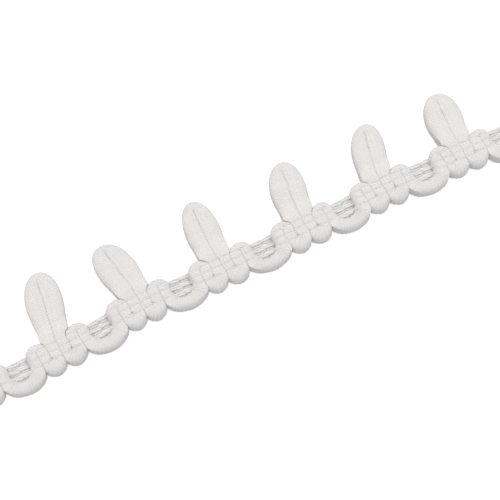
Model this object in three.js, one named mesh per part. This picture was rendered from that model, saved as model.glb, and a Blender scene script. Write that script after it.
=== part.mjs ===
// A cut length of elastic button loop tape, laid flat.
// One thick, soft looping cord zigzags over three thin warp chains. Once in each repeat it runs out as a
// tall, closed button loop, and between two repeats it hangs in a scallop below the chains.
// X runs along the tape, +Y points to the tips of the loops and Z = 0 is the underside. The origin is under
// the middle of the whole piece. Sizes are in millimetres.
import * as THREE from "three";

const mix = THREE.MathUtils.lerp;
const ease = THREE.MathUtils.smoothstep;

const sectionSides = 10;

// Along the tape, a repeat is eight stitches of the chains long, and the cord crosses them six times in it.
const stitch = 1.875;
const stitchesPerRepeat = 8;

// Where the tape is cut: the chains in stitches from the first row of the table of repeats, and the cord in
// steps of the bend that it is cut in.
const chainCuts = { left: 0.45, right: 52.75 };
const cordCuts = { left: 3, right: 6 };

// The three warp chains, by how far each lies across the tape from the middle one.
const warpAcross = { lower: -1.22, middle: 0.05, upper: 1.3 };
const warpRadius = 0.375;
const stitchesPerWarpStep = 2;

// The looping cord where it crosses the chains: half width, half thickness and the height of its middle.
const clearance = 0.3; // from the chains below it
const crossing = { width: 0.83, thickness: 1.1 };
crossing.height = 2 * warpRadius + clearance + crossing.thickness;
const slit = stitch - 2 * crossing.width; // between two crossings
const passEdge = stitch - slit / 2; // from the middle of a bend to the far edge of the cord beside it
const armEdge = 2.18; // the same beside a scallop, whose two arms are wider

// The bends of the cord. side: 1 bows towards the loops, -1 away from them. pivot: the line it turns around.
// outerLong and innerLong: half lengths. outerDeep and innerDeep: depths from the pivot.
// contact: where the outer edge is pressed flat by the bend beside it. skew: how far its deepest point lies
// to the right. full: how full the outer edge is, where 2 is an ellipse. height and thickness: the section
// at the far point, which it starts to take when easeFrom, a share of the depth, is passed.
const upperBend = {
  side: 1,
  pivot: 0.85,
  outerLong: passEdge,
  innerLong: slit / 2,
  outerDeep: 1.6,
  innerDeep: slit / 2,
  contact: passEdge,
  skew: 0,
  full: 2,
  height: 2,
  thickness: 0.95,
  easeFrom: 0,
  steps: 6,
};
const lowerBend = {
  side: -1,
  pivot: -1.7,
  outerLong: 1.98,
  innerLong: slit / 2,
  outerDeep: 2.02,
  innerDeep: slit / 2,
  contact: passEdge,
  skew: 0,
  full: 2,
  height: 1.2,
  thickness: 1.2,
  easeFrom: 0.2,
  steps: 8,
};
const scallopBend = {
  side: -1,
  pivot: -0.45,
  outerLong: 4.4,
  innerLong: 2 * stitch - armEdge,
  innerDeep: 1.26,
  contact: 2 * stitch - slit / 2,
  skew: 0.3,
  full: 2,
  height: 1.4,
  thickness: 1.4,
  easeFrom: 0.56,
  steps: 10,
};

// The button loops. Their legs leave the chains at the foot, spread and come down onto the surface.
const loop = {
  foot: 0.9,
  spreadStart: 1.3,
  spreadEnd: 2.9,
  downStart: 1.8,
  downEnd: 4.4,
  footWidth: 5.5,
  slit: 0.12,
  tipFull: 2.15,
};
const loopRest = { height: 1.3, thickness: 1.3 };
const tipWidth = 1.8; // of the cord at the tip, seen from above
const legSteps = 5;
const legCrowding = 1.4; // above 1 the steps are closer at the foot
const tipSteps = 8;

// One row for each place where a loop can stand, from left to right. The first and last have no loop.
// at and rise: its middle along and across the tape. scallop: outer depth of the scallop that follows it.
// reach: its tip above the middle chain. girth: full width. crown: length of the rounded tip.
// set, lean and bend: how far its foot lies to the right, and how it tilts and curves to the right.
const repeats = [
  { at: -50.2, rise: -0.4, scallop: 4.1 },
  { at: -35.6, rise: -0.35, scallop: 4.2, reach: 13.5, girth: 6.95, crown: 5, set: 0.1, lean: 0.2, bend: 0 },
  { at: -20.6, rise: 0.5, scallop: 4, reach: 12.1, girth: 6.2, crown: 5.5, set: 0.1, lean: -0.13, bend: 0 },
  { at: -5.7, rise: 0, scallop: 3.9, reach: 12.6, girth: 6.1, crown: 5.6, set: -0.3, lean: 0, bend: 0.003 },
  { at: 9.8, rise: -0.1, scallop: 4.1, reach: 12.1, girth: 6.4, crown: 5, set: -0.1, lean: 0.15, bend: 0 },
  { at: 24.7, rise: 0, scallop: 4.1, reach: 11.7, girth: 5.9, crown: 4.8, set: -0.15, lean: 0.22, bend: 0 },
  { at: 39.8, rise: -0.6, scallop: 4.4, reach: 11.6, girth: 6.6, crown: 5, set: -0.2, lean: 0.07, bend: 0 },
  { at: 54.8, rise: -0.7 },
];

const centreLine = new THREE.CatmullRomCurve3(
  repeats.map((row) => new THREE.Vector3(row.at, row.rise, 0)),
  false,
  "catmullrom",
);

// A point given along and across an even tape, as a place on this one.
function onTape([along, across], height) {
  const share = along / (stitch * stitchesPerRepeat * (repeats.length - 1));
  const middle = centreLine.getPoint(share);
  const forward = centreLine.getTangent(share);
  return new THREE.Vector3(middle.x - forward.y * across, middle.y + forward.x * across, height);
}

// One station of a strand, from its left and right edges, seen along its run.
function station(left, right, height, thickness) {
  const leftEdge = onTape(left, height);
  const rightEdge = onTape(right, height);
  return {
    place: leftEdge.clone().add(rightEdge).divideScalar(2),
    side: leftEdge.clone().sub(rightEdge).divideScalar(2),
    up: new THREE.Vector3(0, 0, thickness),
  };
}

// A route through stations. The section stays level and takes its width and thickness from each of them.
class LevelRoute extends THREE.Curve {
  constructor(stations) {
    super();
    this.stations = stations;
  }

  getSpacedPoints() {
    return this.stations.map((each) => each.place);
  }

  computeFrenetFrames() {
    return {
      normals: this.stations.map((each) => each.side),
      binormals: this.stations.map((each) => each.up),
    };
  }
}

// A strand along its stations. Its section is a polygon with a flat underside and a corner at each edge.
function strand(name, stations, material) {
  const flatten = 1 / Math.cos(Math.PI / sectionSides);
  const section = new THREE.Shape(
    Array.from({ length: sectionSides }, (_, i) => {
      const angle = ((2 * i + 1) / sectionSides) * Math.PI - Math.PI / 2;
      return new THREE.Vector2(Math.cos(angle), Math.sin(angle) * flatten);
    }),
  );
  const geometry = new THREE.ExtrudeGeometry(section, {
    steps: stations.length - 1,
    extrudePath: new LevelRoute(stations),
  });
  const mesh = new THREE.Mesh(geometry, material);
  mesh.name = name;
  return mesh;
}

// A half turn of the cord from left to right, its height and thickness easing from those at its start.
// from and to: the steps of it that are made. tilt: how far a point is moved along the tape.
function halfTurn(middle, bend, { from = 0, to = bend.steps, start = crossing, tilt = () => 0 } = {}) {
  return Array.from({ length: to - from + 1 }, (_, i) => {
    const angle = ((from + i) / bend.steps) * Math.PI;
    const edge = (long, deep, full, skew, contact) => {
      const outward = long * Math.abs(Math.cos(angle)) ** (2 / full);
      const free = skew * Math.sin(angle) - Math.sign(Math.cos(angle)) * outward;
      const along = THREE.MathUtils.clamp(free, -contact, contact);
      const across = bend.pivot + bend.side * deep * Math.sin(angle) ** (2 / full);
      return [middle + along + tilt(across), across];
    };
    const isArm = angle < Math.PI / 2 ? bend.armBefore : bend.armAfter;
    const [long, contact] = isArm ? [armEdge, armEdge] : [bend.outerLong, bend.contact];
    const outer = edge(long, bend.outerDeep, bend.full, bend.skew, contact);
    const inner = edge(bend.innerLong, bend.innerDeep, 2, 0, contact);
    const settled = ease(Math.sin(angle), bend.easeFrom, 1);
    const height = mix(start.height, bend.height, settled);
    const thickness = mix(start.thickness, bend.thickness, settled);
    const [left, right] = bend.side > 0 ? [outer, inner] : [inner, outer];
    return station(left, right, height, thickness);
  });
}

// A button loop: up one leg, round the tip and down the other leg.
function buttonLoop(middle, row) {
  const tip = {
    ...loopRest,
    side: 1,
    pivot: row.reach - row.crown,
    outerLong: row.girth / 2,
    innerLong: loop.slit / 2,
    outerDeep: row.crown,
    innerDeep: row.crown - tipWidth,
    contact: row.girth / 2,
    skew: 0,
    full: loop.tipFull,
    easeFrom: 0,
    steps: tipSteps,
  };
  const tilt = (across) => {
    const above = Math.max(across - loop.downStart, 0);
    const set = row.set * ease(across, loop.spreadStart, loop.spreadEnd);
    return set + row.lean * above + row.bend * above ** 2;
  };
  const legs = Array.from({ length: legSteps }, (_, i) => {
    const across = mix(loop.foot, tip.pivot, (i / legSteps) ** legCrowding);
    const spread = ease(across, loop.spreadStart, loop.spreadEnd);
    const foot = mix(passEdge, loop.footWidth / 2, spread);
    const outer = mix(foot, row.girth / 2, ease(across, loop.spreadEnd, tip.pivot));
    const inner = mix(slit, loop.slit, spread) / 2;
    const down = ease(across, loop.downStart, loop.downEnd);
    const height = mix(crossing.height, loopRest.height, down);
    const thickness = mix(crossing.thickness, loopRest.thickness, down);
    const at = (offset) => [middle + tilt(across) + offset, across];
    return {
      up: station(at(-outer), at(-inner), height, thickness),
      down: station(at(outer), at(inner), height, thickness),
    };
  });
  return [
    ...legs.map((leg) => leg.up),
    ...halfTurn(middle, tip, { start: loopRest, tilt }),
    ...legs.map((leg) => leg.down).reverse(),
  ];
}

// The whole cord, from its cut end in a lower bend on the left to its cut end in a scallop on the right.
function loopingCord() {
  const stations = [
    ...halfTurn(stitch, lowerBend, { from: cordCuts.left }),
    ...halfTurn(2 * stitch, { ...upperBend, armAfter: true }),
    ...halfTurn(4 * stitch, { ...scallopBend, outerDeep: repeats[0].scallop }),
  ];
  repeats.slice(1, -1).forEach((row, i) => {
    const middle = (i + 1) * stitchesPerRepeat * stitch;
    const isLast = i === repeats.length - 3;
    stations.push(
      ...halfTurn(middle - 2 * stitch, { ...upperBend, armBefore: true }),
      ...halfTurn(middle - stitch, lowerBend),
      ...buttonLoop(middle, row),
      ...halfTurn(middle + stitch, lowerBend),
      ...halfTurn(middle + 2 * stitch, { ...upperBend, armAfter: true }),
      ...halfTurn(
        middle + 4 * stitch,
        { ...scallopBend, outerDeep: row.scallop },
        isLast ? { to: cordCuts.right } : {},
      ),
    );
  });
  return stations;
}

function warpChain(across) {
  const steps = Math.round((chainCuts.right - chainCuts.left) / stitchesPerWarpStep);
  return Array.from({ length: steps + 1 }, (_, i) => {
    const along = mix(chainCuts.left, chainCuts.right, i / steps) * stitch;
    return station([along, across + warpRadius], [along, across - warpRadius], warpRadius, warpRadius);
  });
}

const cordCloth = new THREE.MeshStandardMaterial({ color: 0xe9e8e6, roughness: 0.85, metalness: 0 });
const chainCloth = new THREE.MeshStandardMaterial({ color: 0xe6e5e2, roughness: 0.8, metalness: 0 });

const tape = new THREE.Group();
tape.add(strand("looping_cord", loopingCord(), cordCloth));
for (const [place, across] of Object.entries(warpAcross)) {
  tape.add(strand("warp_" + place, warpChain(across), chainCloth));
}

const box = new THREE.Box3().setFromObject(tape, true);
const boxMiddle = box.getCenter(new THREE.Vector3());
tape.position.set(-boxMiddle.x, -boxMiddle.y, -box.min.z);

export default tape;
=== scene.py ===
import math

import bmesh
import bpy
import numpy as np
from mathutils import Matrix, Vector
from mathutils.bvhtree import BVHTree


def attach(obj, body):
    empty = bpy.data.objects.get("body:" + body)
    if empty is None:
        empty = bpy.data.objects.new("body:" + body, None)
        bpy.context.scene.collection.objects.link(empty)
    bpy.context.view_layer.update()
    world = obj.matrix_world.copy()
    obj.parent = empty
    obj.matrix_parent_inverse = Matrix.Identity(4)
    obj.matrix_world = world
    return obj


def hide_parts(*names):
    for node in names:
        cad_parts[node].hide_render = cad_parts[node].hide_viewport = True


# A cut length of soft button loop tape, laid flat on a pale floor. The looping cord and the three warp
# chains follow the layout of the CAD solids that they stand for, with bends, sections and chain lines of
# their own where that looks better.
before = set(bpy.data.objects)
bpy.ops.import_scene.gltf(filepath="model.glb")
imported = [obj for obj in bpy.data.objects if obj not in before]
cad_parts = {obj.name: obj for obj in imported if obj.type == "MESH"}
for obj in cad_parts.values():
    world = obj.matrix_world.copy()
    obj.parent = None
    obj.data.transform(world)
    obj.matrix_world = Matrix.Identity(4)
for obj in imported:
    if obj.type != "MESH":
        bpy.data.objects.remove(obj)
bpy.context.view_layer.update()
print("frame loaded:", ", ".join(sorted(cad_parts)))

# The layout of the tape, in millimetres along and across an even tape. Chains are counted in stitches.
tape = {
    "stitch": 1.875,  # of the warp chains
    "stitchesPerRepeat": 8,
    "middle": (-0.2183, 3.8521),  # of the whole piece, which the frame has at its origin
    "crossing": {"height": 1.95, "thickness": 1.28, "outerSquare": 5, "innerSquare": 5},
    "drift": 0.12,  # how far the stitches wander from an even tape
    "slit": 0.003,  # between two crossings
    "armEdge": 1.95,  # from the middle of a bend to the far edge of an arm of a scallop
    "freeSquare": 2.4,  # of an arm's side towards its opening, where nothing presses on it
}
passEdge = tape["stitch"] - tape["slit"] / 2

# The bends of the cord: what each turns around, how long and deep it is, and its section at the far point.
# A bend leaves a small eye at its pivot, which closes over the lead before it. Its outer edge is flattened
# at the contact with the bend beside it, and its deepest point is skewed to the right.
bends = {
    "upper": {"side": 1, "pivot": 0.85, "lead": 0.4, "outerLong": passEdge, "innerLong": 0.01,
              "outerDeep": 1.6, "innerDeep": 0.02, "full": 2, "easeFrom": 0, "contact": passEdge,
              "skew": 0, "height": 2, "thickness": 1.05, "outerSquare": 3, "innerSquare": 5},
    "lower": {"side": -1, "pivot": -0.95, "lead": 0.4, "outerLong": 2.2, "innerLong": 0.01,
              "outerDeep": 3.03, "innerDeep": 0.02, "full": 2, "easeFrom": 0, "contact": passEdge,
              "skew": 0, "height": 1.6, "thickness": 1.57, "outerSquare": 2.1, "innerSquare": 5},
    "scallop": {"side": -1, "pivot": -0.45, "lead": 0, "outerLong": 4.4, "innerLong": 1.8,
                "innerDeep": 1.55, "full": 2, "easeFrom": 0.5, "contact": 3.745,
                "skew": 0.3, "height": 1.4, "thickness": 1.38, "outerSquare": 2.2, "innerSquare": 2.2},
}

# The button loops, whose legs spread and come down onto the floor between these places across the tape.
loop = {
    "foot": 0.9,
    "spreadStart": 0.85,
    "spreadEnd": 2.5,
    "downStart": 2.2,
    "downEnd": 4.8,
    "footWidth": 5.4,
    "slit": 0.003,
    "eye": 0.006,  # half width of the slit where the crown begins
    "eyeLead": 3,
    "tipWidth": 1.8,
    "tipFull": 2.15,
    "rest": {"height": 1.32, "thickness": 1.3, "outerSquare": 2.6, "innerSquare": 5},
}

# One row for each place where a loop can stand: where its middle is, the scallop after it, and for a loop
# its reach, girth and crown, how far its foot is set to the right, its lean and its bend.
repeats = [
    {"at": -50.2, "rise": -0.4, "scallop": 4.1},
    {"at": -35.6, "rise": -0.35, "scallop": 4.2, "loop": (13.5, 6.95, 5, 0.2, 0.2, 0)},
    {"at": -20.6, "rise": 0.5, "scallop": 4, "loop": (12.1, 6.1, 5.5, 0.05, -0.13, 0)},
    {"at": -5.7, "rise": 0, "scallop": 3.9, "loop": (12.6, 6.1, 5.6, -0.3, 0, 0.003)},
    {"at": 9.8, "rise": -0.1, "scallop": 4.1, "loop": (12.1, 6.35, 5, 0, 0.15, 0)},
    {"at": 24.7, "rise": 0, "scallop": 4.1, "loop": (11.7, 5.8, 4.8, 0, 0.22, 0)},
    {"at": 39.8, "rise": -0.6, "scallop": 4.4, "loop": (11.6, 6.6, 5, -0.1, 0.07, 0)},
    {"at": 54.8, "rise": -1.1},
]


def ease(value, low, high):
    share = np.clip((value - low) / (high - low), 0, 1)
    return share * share * (3 - 2 * share)


def mix(low, high, share):
    return low + (high - low) * share


def onTape(along, across):
    # a place on the even tape, in millimetres, as metres in the frame: the middle line is a soft spline
    rows = np.array([[row["at"], row["rise"]] for row in repeats], float)
    ends = np.vstack([2 * rows[0] - rows[1], rows, 2 * rows[-1] - rows[-2]])
    along, across = np.asarray(along, float), np.asarray(across, float)
    waves = np.sin(0.9 * along + 1.3 * across) + np.sin(0.5 * along - 2.1 * across) + np.sin(1.7 * along)
    along = along + tape["drift"] / 3 * waves * (1 - ease(across, 1.6, 3))
    share = along / (tape["stitch"] * tape["stitchesPerRepeat"])
    row = np.clip(np.floor(share), 0, len(rows) - 2).astype(int)
    t = (share - row)[..., None]
    before, start, end, after = (ends[row + step] for step in range(4))
    slopeStart = (end - before) / 2
    slopeEnd = (after - start) / 2
    square = 3 * (end - start) - 2 * slopeStart - slopeEnd
    cube = 2 * (start - end) + slopeStart + slopeEnd
    place = start + slopeStart * t + square * t**2 + cube * t**3
    forward = slopeStart + 2 * square * t + 3 * cube * t**2
    forward /= np.linalg.norm(forward, axis=-1, keepdims=True)
    leftward = np.stack([-forward[..., 1], forward[..., 0]], -1)
    return (place + leftward * across[..., None] - np.array(tape["middle"])) / 1000


def wander(run, seed, short=3, long=11):
    # a soft, seeded wavering between about -1 and 1 along a run in millimetres
    rng = np.random.default_rng(seed)
    waves = 2 * math.pi / rng.uniform(short, long, 5)
    starts = rng.uniform(0, 2 * math.pi, 5)
    return sum(np.sin(run * wave + start) for wave, start in zip(waves, starts)) / 2.6


# Eight columns for each station of the cord: its left edge along and across, its right edge, then the
# height and half thickness of the section, and how square it is on the left and right.
def stations(outer, inner, section, side=1):
    squares = [section["outerSquare"], section["innerSquare"]]
    edges = [*outer, *inner] if side > 0 else [*inner, *outer]
    columns = [*edges, section["height"], section["thickness"], *squares[::side]]
    return np.column_stack(np.broadcast_arrays(*columns))


def settle(start, end, share):
    return {key: mix(start[key], end[key], share) for key in tape["crossing"]}


def halfTurn(middle, bend, first=0, last=1, before=None, after=None, start=None, tilt=None):
    # before and after: the outer half length on the left and right where it isn't the bend's own
    angle = np.linspace(first, last, 65) * math.pi
    lead = np.zeros_like(angle)
    if bend["lead"]:
        leads = np.linspace(1, 0, 8)[:-1]
        ahead, behind = leads[: len(leads) * (first == 0)], leads[: len(leads) * (last == 1)][::-1]
        angle = np.concatenate([ahead * 0, angle, behind * 0 + math.pi])
        lead = np.concatenate([ahead, lead, behind])
    cosine, sine = np.cos(angle), np.clip(np.sin(angle), 0, 1)
    isFirst = angle < math.pi / 2
    outerLong = np.where(isFirst, before or bend["outerLong"], after or bend["outerLong"])
    contact = np.where(isFirst, before or bend["contact"], after or bend["contact"])
    innerLong = mix(bend["innerLong"], tape["slit"] / 2, ease(lead, 0, 1))

    def edge(long, deep, full, skew):
        across = bend["pivot"] + bend["side"] * (deep * sine ** (2 / full) - lead * bend["lead"])
        along = skew * sine - np.sign(cosine) * long * np.abs(cosine) ** (2 / full)
        return (middle + np.clip(along, -contact, contact) + (tilt(across) if tilt else 0), across)

    outer = edge(outerLong, bend["outerDeep"], bend["full"], bend["skew"])
    inner = edge(innerLong, bend["innerDeep"], 2, 0)
    section = settle(start or tape["crossing"], bend, ease(sine, bend["easeFrom"], 1))
    isFree = np.where(isFirst, bool(before), bool(after))
    free = mix(tape["freeSquare"], bend["outerSquare"], ease(sine, 0, 1))
    section["outerSquare"] = np.where(isFree, free, section["outerSquare"])
    return stations(outer, inner, section, bend["side"])


def buttonLoop(middle, values):
    reach, girth, crown, foot, slope, bow = values

    def tilt(across):
        above = np.maximum(across - loop["downStart"], 0)
        return foot * ease(across, loop["spreadStart"], loop["spreadEnd"]) + slope * above + bow * above**2

    tip = {**loop["rest"], "side": 1, "pivot": reach - crown, "outerLong": girth / 2, "outerDeep": crown,
           "innerLong": loop["eye"], "innerDeep": crown - loop["tipWidth"], "full": loop["tipFull"],
           "easeFrom": 0, "lead": 0, "contact": girth, "skew": 0}
    across = np.linspace(loop["foot"], tip["pivot"], 60)[:-1]
    spread = ease(across, loop["spreadStart"], loop["spreadEnd"])
    outer = mix(passEdge, loop["footWidth"] / 2, spread)
    outer = mix(outer, girth / 2, ease(across, loop["spreadEnd"], tip["pivot"]))
    inner = mix(tape["slit"], loop["slit"], spread) / 2
    inner = mix(inner, loop["eye"], ease(across, tip["pivot"] - loop["eyeLead"], tip["pivot"]))
    down = ease(across, loop["downStart"], loop["downEnd"])
    section = settle(tape["crossing"], loop["rest"], down)
    lean = tilt(across)
    line = middle + lean

    # the foot lies against the bumps on both sides of it
    bump = bends["upper"]
    turn = np.clip((across - bump["pivot"]) / bump["outerDeep"], 0, 1)
    room = 2 * tape["stitch"] - tape["slit"] / 2 - bump["outerLong"] * np.sqrt(1 - turn**2)
    left, right = (np.where(turn < 1, np.minimum(outer, room + side), outer) for side in (lean, -lean))
    up = stations((line - left, across), (line - inner, across), section)
    back = stations((line + right, across), (line + inner, across), section)
    return [up, halfTurn(middle, tip, start=loop["rest"], tilt=tilt), back[::-1]]


def cordStations():
    stitch = tape["stitch"]
    arm = tape["armEdge"]
    armSection = {**tape["crossing"], "innerSquare": tape["freeSquare"]}
    parts = [
        halfTurn(stitch, bends["lower"], first=3 / 8),
        halfTurn(2 * stitch, bends["upper"], after=arm),
        halfTurn(4 * stitch, {**bends["scallop"], "outerDeep": repeats[0]["scallop"]}, start=armSection),
    ]
    for number, row in enumerate(repeats[1:-1], 1):
        middle = number * tape["stitchesPerRepeat"] * stitch
        lastShare = 6 / 10 if number == len(repeats) - 2 else 1
        scallop = {**bends["scallop"], "outerDeep": row["scallop"]}
        parts += [
            halfTurn(middle - 2 * stitch, bends["upper"], before=arm),
            halfTurn(middle - stitch, bends["lower"]),
            *buttonLoop(middle, row["loop"]),
            halfTurn(middle + stitch, bends["lower"]),
            halfTurn(middle + 2 * stitch, bends["upper"], after=arm),
            halfTurn(middle + 4 * stitch, scallop, last=lastShare, start=armSection),
        ]
    return np.vstack(parts)


def rolledGrid(name, around, along, placeAt):
    # a flat grid is rolled up round a run: x goes once round the section and y along it, both from 0 to 1
    bm = bmesh.new()
    bm.loops.layers.uv.new("weave")
    bmesh.ops.create_grid(bm, x_segments=around, y_segments=along, size=0.5, calc_uvs=True)
    mesh = bpy.data.meshes.new(name)
    bm.to_mesh(mesh)
    flat = np.empty(len(mesh.vertices) * 3, np.float32)
    mesh.vertices.foreach_get("co", flat)
    flat = flat.reshape(-1, 3).astype(float) + 0.5
    mesh.vertices.foreach_set("co", placeAt(flat[:, 0], flat[:, 1]).astype(np.float32).ravel())
    bm.clear()
    bm.from_mesh(mesh)
    bmesh.ops.remove_doubles(bm, verts=bm.verts, dist=1e-7)
    bmesh.ops.recalc_face_normals(bm, faces=bm.faces)
    bm.to_mesh(mesh)
    bm.free()
    mesh.shade_smooth()
    piece = bpy.data.objects.new(name, mesh)
    bpy.context.scene.collection.objects.link(piece)
    return piece


# The looping cord, in millimetres: a soft covered cord whose cover has fine, slightly slanted cross ribs.
cord = {
    "ribPitch": 0.42,
    "ribRelief": 0.055,
    "ribTurns": 3,  # how many ribs a line round the cord drifts by
    "ringsPerRib": 4,
    "sides": 24,
    "crowding": 0.175,  # of the sides towards the top and the underside
    "pinchReach": 0.3,  # where a thread holds the cord down
    "pinchWidth": 0.01,
    "pinchThickness": 0.02,
    "press": 0.2,  # how much more a squarer side is pressed flat
    "dome": 0.03,  # how much lower the top is at its sides
    "plainSquare": 2.2,  # a side that is squarer than this is pressed
    "ribLow": 0.6,  # the share of a rib's height that lies below the even surface
    "ribWander": 1.2,  # of the ribs along the cord, where 2 pi is one rib
    "reliefWander": 0.35,  # of their relief, as a share of it
    "waver": 0.02,
    "cutRings": 6,
    "sharpAngle": 50,  # in degrees, above which an edge isn't smoothed
    "seed": 11,
}
warpAcross = {"warp_lower": -1.27, "warp_middle": 0.03, "warp_upper": 1.25}


def makeCord():
    rough = cordStations()
    middles = onTape((rough[:, 0] + rough[:, 2]) / 2, (rough[:, 1] + rough[:, 3]) / 2)
    steps = np.linalg.norm(np.diff(middles, axis=0), axis=1) * 1000
    keep = np.concatenate([[True], steps > 1e-6])
    rough, middles = rough[keep], middles[keep]
    run = np.concatenate([[0], np.cumsum(np.linalg.norm(np.diff(middles, axis=0), axis=1) * 1000)])
    rings = round(run[-1] / cord["ribPitch"] * cord["ringsPerRib"])
    even = np.linspace(0, run[-1], rings + 1)
    leftAlong, leftAcross, rightAlong, rightAcross, height, thick, leftSquare, rightSquare = (
        np.interp(even, run, column) for column in rough.T
    )
    left = onTape(leftAlong, leftAcross) * 1000
    right = onTape(rightAlong, rightAcross) * 1000
    place = (left + right) / 2
    half = np.linalg.norm(left - right, axis=1) / 2
    sideways = (left - right) / (2 * half[:, None])

    # the threads of the chains pinch the cord
    across = (leftAcross + rightAcross) / 2
    pinch = sum(np.exp(-(((across - line) / cord["pinchReach"]) ** 2)) for line in warpAcross.values())
    pinch = np.clip(pinch, 0, 1)
    fullness = (1 - cord["pinchWidth"] * pinch) * (1 + cord["waver"] * (wander(even, cord["seed"]) - 0.5))
    thick = thick * (1 - cord["pinchThickness"] * pinch)
    thick = thick * (1 + 2 * cord["waver"] * wander(even, cord["seed"] + 1))
    height = np.maximum(height, thick)

    # how much longer the left edge runs than the right one, for ribs that fan out in the bends
    speeds = [np.linalg.norm(np.gradient(edge, axis=0), axis=1) for edge in (left, right)]
    fan = (speeds[0] - speeds[1]) / np.maximum(speeds[0] + speeds[1], 1e-9)
    phase = 2 * math.pi * even / cord["ribPitch"] + cord["ribWander"] * wander(even, cord["seed"] + 2)
    relief = cord["ribRelief"] * (1 + cord["reliefWander"] * wander(even, cord["seed"] + 3, 1, 4))

    # the cut ends close in a few rings
    last = cord["cutRings"]
    close = np.ones(rings + 1)
    close[:last] = np.sqrt(np.clip(np.arange(last) / last, 0, 1)) ** 0.6
    close[-last:] = close[:last][::-1]

    def placeAt(x, y):
        ring = np.rint(y * rings).astype(int)
        angle = 2 * math.pi * (np.rint(x * cord["sides"]) % cord["sides"]) / cord["sides"]
        angle = angle + cord["crowding"] * np.sin(2 * angle)
        cosine, sine = np.cos(angle), np.sin(angle)
        power = 2 / np.where(cosine > 0, leftSquare[ring], rightSquare[ring])
        out = np.sign(cosine) * np.abs(cosine) ** power
        out = out * fullness[ring] * (1 + cord["press"] * (2 / power - cord["plainSquare"]))
        free = np.abs(out) < 1  # or pressed flat by a neighbour
        out = np.clip(out, -1, 1)
        rise = np.sign(sine) * np.abs(sine) ** power * (1 - cord["dome"] * out**2)
        rib = np.abs(np.sin((phase[ring] + cord["ribTurns"] * angle) / 2)) - cord["ribLow"]
        stretch = np.clip(1 + cosine * fan[ring], 0, 1)
        ridge = relief[ring] * rib * stretch
        shrink = close[ring]
        plan = place[ring] + sideways[ring] * ((half[ring] * out + ridge * cosine * free) * shrink)[:, None]
        level = height[ring] + (thick[ring] * rise + ridge * sine) * shrink
        return np.column_stack([plan, np.maximum(level, 0.01)]) / 1000

    piece = rolledGrid("loopingCord", cord["sides"], rings, placeAt)
    piece.data.set_sharp_from_angle(angle=math.radians(cord["sharpAngle"]))
    cord["length"] = float(run[-1])
    print(f"looping cord: {run[-1]:.1f} mm, {rings} rings, {len(piece.data.polygons)} faces")
    return piece


# The warp chains, in millimetres: one thread each, looped into a chain whose floats lie over the cord.
chain = {
    "threadRadius": 0.22,
    "tightRadius": 0.15,  # of the floats, which are pulled tight over the cord
    "sides": 8,
    "steps": 4,  # between two points of the table below
    "cuts": (0.45, 52.75),
    "lowInBand": 0.55,
    "highInBand": 3.05,
    "lowInOpening": 1.3,
    "highInOpening": 1.6,
    "sink": 0.09,  # how deep the middle of a float lies in the cord
    "cordTop": 1.5,  # a float rests on nothing lower than this
    "bandEdge": (2.7, 3),  # where a chain starts to hang, in stitches from a loop
    "drift": 0.02,  # of the stitches across the tape
    "waver": 0.06,  # of the thread's radius, as a share of it
    "seed": 5,
}

# Where each chain hangs in the openings, towards the scallop, and how much its links spread.
openings = {"warp_lower": (-1.47, 0.95), "warp_middle": (-0.22, 1.15), "warp_upper": (1.02, 1.2)}

# One stitch of a chain: how far along, millimetres across, and how far up from its loops to its float.
stitchShape = [
    (0.0, -0.1, 0.12), (0.2, -0.27, 0.0), (0.6, -0.33, 0.02), (0.98, -0.28, 0.08), (1.12, 0.0, 0.14),
    (0.98, 0.28, 0.08), (0.6, 0.33, 0.02), (0.2, 0.27, 0.0), (0.0, 0.1, 0.12), (0.01, 0.08, 0.55),
    (0.1, 0.06, 0.86), (0.3, 0.03, 0.99), (0.5, 0.0, 1.0), (0.7, -0.03, 0.99), (0.9, -0.06, 0.86),
    (0.99, -0.08, 0.55),
]


def stitchAlong(count):
    # the links in an opening are longer, and reach into the arms beside it
    nominal = np.array([-4, -3, -2, 2, 3, 4])
    real = np.array([-4, -2.85, -2, 2, 2.85, 4])
    whole = np.floor(count / 8 + 0.5) * 8
    return (whole + np.interp(count - whole, nominal, real)) * tape["stitch"]


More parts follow.
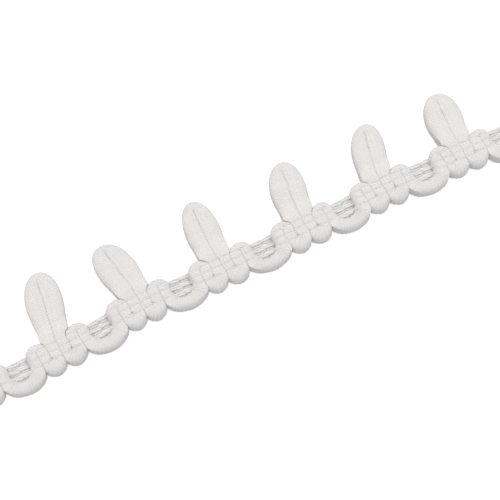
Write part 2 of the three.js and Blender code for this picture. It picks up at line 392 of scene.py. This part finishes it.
def makeChain(node, across, cordTree, seed):
    first, last = math.ceil(chain["cuts"][0]), math.floor(chain["cuts"][1])
    rng = np.random.default_rng(seed)
    points = [(chain["cuts"][0], 0.0, 0.1), (first - 0.25, -0.05, 0.1)]
    for count in range(first, last + 1):
        drift = rng.normal(0, chain["drift"], 2)
        reach = 1 if count < last else chain["cuts"][1] - last
        points += [(count + u * reach, v + drift[0], w) for u, v, w in stitchShape]
    points = np.array(points)
    hangs, spread = openings[node]
    points[:, 1] *= spread

    # a soft curve through the points
    padded = np.vstack([2 * points[0] - points[1], points, 2 * points[-1] - points[-2]])
    before, start, end, after = (padded[i : len(points) - 1 + i] for i in range(4))
    t = np.arange(chain["steps"])[:, None, None] / chain["steps"]
    curve = start + t * (end - before) / 2
    curve = curve + t**2 * (3 * (end - start) - (end - before) - (after - start) / 2)
    curve = curve + t**3 * (2 * (start - end) + (end - before) / 2 + (after - start) / 2)
    curve = np.vstack([curve.transpose(1, 0, 2).reshape(-1, 3), points[-1:]])

    along = stitchAlong(curve[:, 0])
    fromLoop = np.abs((along / tape["stitch"] + 4) % 8 - 4)
    band = 1 - ease(fromLoop, *chain["bandEdge"])
    plan = onTape(along, mix(hangs, across, band) + curve[:, 1])
    low = mix(chain["lowInOpening"], chain["lowInBand"], band)
    high = mix(chain["highInOpening"], chain["highInBand"], band)
    level = mix(low, high, curve[:, 2])
    for i in np.flatnonzero(curve[:, 2] > 0.8):
        hit = cordTree.ray_cast(Vector((*plan[i], 0.02)), Vector((0, 0, -1)))[0]
        if hit and hit.z * 1000 > chain["cordTop"]:
            level[i] = hit.z * 1000 - chain["sink"]
    level = np.convolve(np.pad(level, 2, mode="edge"), np.array([1, 2, 3, 2, 1]) / 9, mode="valid")
    path = np.column_stack([plan * 1000, level])

    # a frame that never twists is carried along the thread
    heading = np.gradient(path, axis=0)
    heading /= np.linalg.norm(heading, axis=1)[:, None]
    sideways = np.empty_like(path)
    side = np.array([0.0, 0.0, 1.0])
    for i, forward in enumerate(heading):
        side = side - forward * side.dot(forward)
        side = side / np.linalg.norm(side)
        sideways[i] = side
    upward = np.cross(heading, sideways)
    rings = len(path) - 1
    run = np.concatenate([[0], np.cumsum(np.linalg.norm(np.diff(path, axis=0), axis=1))])
    tight = band * ease(curve[:, 2], 0.3, 0.8)
    radius = mix(chain["threadRadius"], chain["tightRadius"], tight)
    radius = radius * (1 + chain["waver"] * wander(run, seed, 1, 4))
    radius[[0, -1]] = 0
    radius[[1, -2]] *= 0.8

    def placeAt(x, y):
        ring = np.rint(y * rings).astype(int)
        angle = (2 * math.pi * (np.rint(x * chain["sides"]) % chain["sides"]) / chain["sides"])[:, None]
        out = sideways[ring] * np.cos(angle) + upward[ring] * np.sin(angle)
        return (path[ring] + out * radius[ring][:, None]) / 1000

    piece = rolledGrid("chain_" + node.split("_")[1], chain["sides"], rings, placeAt)
    chain["length"] = float(run[-1])
    print(f"{piece.name}: {run[-1]:.0f} mm of thread, {len(piece.data.polygons)} faces")
    return piece


class Socket:
    # an output of a shader node, so that maths reads as a plain expression
    def __init__(self, tree, output=None):
        self.tree = tree
        self.output = output

    def node(self, kind, settings=None, inputs=None, output=0):
        made = self.tree.nodes.new("ShaderNode" + kind)
        for key, value in (settings or {}).items():
            setattr(made, key, value)
        for key, value in (inputs or {}).items():
            if isinstance(value, Socket):
                self.tree.links.new(value.output, made.inputs[key])
            else:
                made.inputs[key].default_value = value
        return Socket(self.tree, made.outputs[output] if made.outputs else None)

    def maths(self, operation, *others):
        return self.node("Math", {"operation": operation}, dict(enumerate((self, *others))))

    def __add__(self, other):
        return self.maths("ADD", other)

    def __sub__(self, other):
        return self.maths("SUBTRACT", other)

    def __rsub__(self, other):
        return self.node("Math", {"operation": "SUBTRACT"}, {0: other, 1: self})

    def __mul__(self, other):
        return self.maths("MULTIPLY", other)

    __radd__ = __add__
    __rmul__ = __mul__


def freshMaterial(name):
    material = bpy.data.materials.new(name)
    material.use_nodes = True
    material.node_tree.nodes.clear()
    return material, Socket(material.node_tree)


# The finishes: soft, matt, undyed white. ridges and slant: the ribs or plies along and round the strand.
# yarns: how many fine yarns lie side by side round it, and chevron how far they slant in a rib.
# light is the cloth's own colour. The darker colour is painted shade for the rib furrows, and it also gives
# the random mottling.
finishes = {
    "cord": {"light": (0.82, 0.805, 0.788, 1), "deep": (0.74, 0.725, 0.708, 1), "roughness": 0.85,
             "sheen": 0.25, "soft": 0.0003, "slant": 3, "yarns": 30, "chevron": 1.4, "bump": 0.00005},
    "thread": {"light": (0.82, 0.805, 0.788, 1), "deep": (0.74, 0.725, 0.708, 1), "roughness": 0.75,
               "sheen": 0.2, "soft": 0.0002, "slant": 2, "yarns": 6, "chevron": 0, "bump": 0.00003},
}


def clothFinish(name, look, ridges):
    material, start = freshMaterial(name)
    weave = start.node("UVMap", {"uv_map": "weave"})
    u = start.node("SeparateXYZ", {}, {0: weave}, 0)
    v = start.node("SeparateXYZ", {}, {0: weave}, 1)
    place = start.node("TexCoord", {}, {}, 3)
    cloud = start.node("TexNoise", {}, {"Vector": place, "Scale": 350, "Detail": 3, "Roughness": 0.6})
    grain = start.node("TexNoise", {}, {"Vector": place, "Scale": 9000, "Detail": 2, "Roughness": 0.7})

    # 0 in the middle of a rib and 0.5 in the furrow beside it
    fromRib = ((v * ridges + u * look["slant"]).maths("FRACT") - 0.5).maths("ABSOLUTE")
    yarns = ((u * look["yarns"] + fromRib * look["chevron"]) * (2 * math.pi)).maths("SINE")
    height = yarns * 0.5 + grain * 1.2 - fromRib * 1.5
    bump = start.node("Bump", {}, {"Strength": 0.7, "Distance": look["bump"], "Height": height})
    # painted shade: the colour darkens towards the darker colour in every rib furrow, where shade falls,
    # mixed with random mottling from the noise
    shadeAndMottleShare = (fromRib * 0.9 + cloud * 0.7 + grain * 0.3 - yarns * 0.06 - 0.35).maths("MAXIMUM", 0)
    colour = start.node("Mix", {"data_type": "RGBA"}, {0: shadeAndMottleShare, 6: look["light"], 7: look["deep"]}, 2)
    cloth = start.node("BsdfPrincipled", {}, {
        "Base Color": colour,
        "Roughness": look["roughness"],
        "Sheen Weight": look["sheen"],
        "Sheen Roughness": 0.6,
        "Specular IOR Level": 0.25,
        "Subsurface Weight": 0.7,
        "Subsurface Radius": (1, 0.95, 0.9),
        "Subsurface Scale": look["soft"],
        "Normal": bump,
    })
    start.node("OutputMaterial", {}, {"Surface": cloth})
    return material


# Camera and stage. The view looks down on the tape from the side of its scallops, turned so that the
# tape climbs to the right; the frame is as wide as 84 mm of the floor.
stage = {
    "azimuth": -27.4,
    "elevation": 72,
    "distance": 0.25,
    "frameWidth": 0.084,
    "target": (0.000284, -0.002852, 0),
    "floorColour": (0.93, 0.93, 0.93, 1),
    "floorGlow": 0.48,
    "horizon": 0.6,  # the light of the room at its horizon, and how much more comes from straight above
    "zenith": 0.3,
    "lights": [
        ("keyLight", (0.15, 0.5, 1.3), 0.8, 0.6, 2.2),  # name, direction, distance, size and watts
    ],
}


def makeStage():
    scene = bpy.context.scene
    a, e = math.radians(stage["azimuth"]), math.radians(stage["elevation"])
    back = Vector((math.sin(a) * math.cos(e), -math.cos(a) * math.cos(e), math.sin(e)))
    lens = bpy.data.cameras.new("camera")
    lens.sensor_width = 36
    lens.lens = 36 * stage["distance"] / stage["frameWidth"]
    lens.clip_start = 0.01
    camera = bpy.data.objects.new("camera", lens)
    camera.location = Vector(stage["target"]) + back * stage["distance"]
    camera.rotation_euler = back.to_track_quat("Z", "Y").to_euler()
    scene.collection.objects.link(camera)
    scene.camera = camera

    for name, direction, distance, size, watts in stage["lights"]:
        light = bpy.data.lights.new(name, "AREA")
        light.shape = "DISK"
        light.size = size
        light.energy = watts
        lamp = bpy.data.objects.new(name, light)
        lamp.location = Vector(direction).normalized() * distance
        lamp.rotation_euler = Vector(direction).to_track_quat("Z", "Y").to_euler()
        scene.collection.objects.link(lamp)

    world = bpy.data.worlds.new("studio")
    world.use_nodes = True
    world.node_tree.nodes.clear()
    room = Socket(world.node_tree)
    height = room.node("SeparateXYZ", {}, {0: room.node("TexCoord")}, 2).maths("MAXIMUM", 0)
    glow = height * stage["zenith"] + stage["horizon"]
    background = room.node("Background", {}, {"Color": (1, 1, 1, 1), "Strength": glow})
    room.node("OutputWorld", {}, {"Surface": background})
    scene.world = world
    scene.view_settings.view_transform = "Standard"

    bm = bmesh.new()
    bmesh.ops.create_grid(bm, x_segments=2, y_segments=2, size=2)
    mesh = bpy.data.meshes.new("floor")
    bm.to_mesh(mesh)
    bm.free()
    floor = bpy.data.objects.new("floor", mesh)
    scene.collection.objects.link(floor)
    material, start = freshMaterial("paleFloor")
    paper = start.node("BsdfPrincipled", {}, {
        "Base Color": stage["floorColour"],
        "Roughness": 0.9,
        "Emission Color": (1, 1, 1, 1),
        "Emission Strength": stage["floorGlow"],
    })
    start.node("OutputMaterial", {}, {"Surface": paper})
    mesh.materials.append(material)
    floor.visible_diffuse = False


makeStage()
print("stage: camera, lights and floor")

cordPiece = makeCord()
cordPiece.data.materials.append(clothFinish("softCord", finishes["cord"], cord["length"] / cord["ribPitch"]))
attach(cordPiece, "root")
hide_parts("looping_cord")

bpy.context.view_layer.update()
cordTree = BVHTree.FromObject(cordPiece, bpy.context.evaluated_depsgraph_get())
threadFinish = None
for number, (node, across) in enumerate(warpAcross.items()):
    chainPiece = makeChain(node, across, cordTree, chain["seed"] + number)
    threadFinish = threadFinish or clothFinish("chainThread", finishes["thread"], chain["length"] / 0.5)
    chainPiece.data.materials.append(threadFinish)
    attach(chainPiece, "root")
    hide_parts(node)
